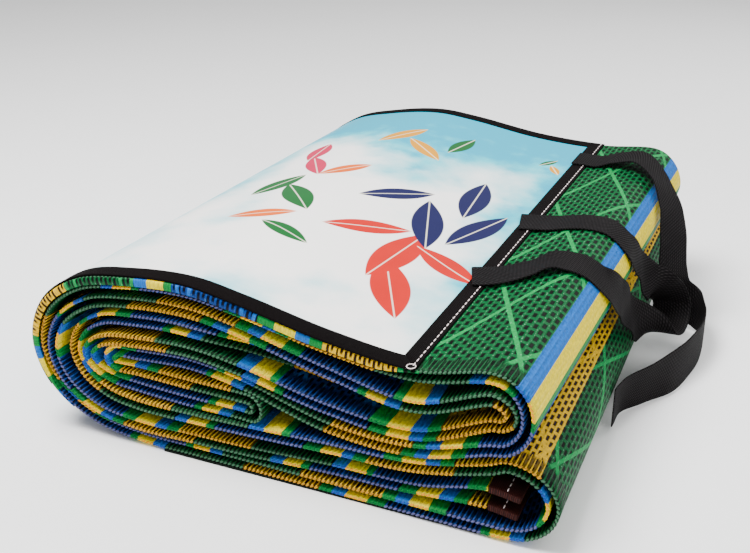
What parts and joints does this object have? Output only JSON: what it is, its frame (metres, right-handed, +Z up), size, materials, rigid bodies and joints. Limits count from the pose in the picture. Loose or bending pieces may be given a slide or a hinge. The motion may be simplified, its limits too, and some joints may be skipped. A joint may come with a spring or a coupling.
{
  "type": "folded waterproof ground mat with webbing carry handles",
  "caption": "Woven plastic-straw ground mat with coloured stripes, folded into a packet, with a bound top panel and webbing carry handles.",
  "frame": {"origin": "on the ground, under the middle of the whole object's box", "axes": "+X across the packet towards the handles, +Y from the open front of the plies to the folded back, +Z up"},
  "size_m": [0.6908, 0.76, 0.2208],
  "materials": {
    "straw": "woven plastic straw, satin",
    "tape": "dark brown tape",
    "panel": "printed coated cloth, satin",
    "binding": "black edge tape",
    "underside": "dark cloth",
    "webbing": "black twill webbing"
  },
  "bodies": {
    "root": {"mat": "straw", "end_tape": "tape", "label_panel": "panel", "label_binding": "binding", "underside_panel": "underside", "handle_front": "webbing", "handle_back": "webbing"}
  },
  "joints": []
}
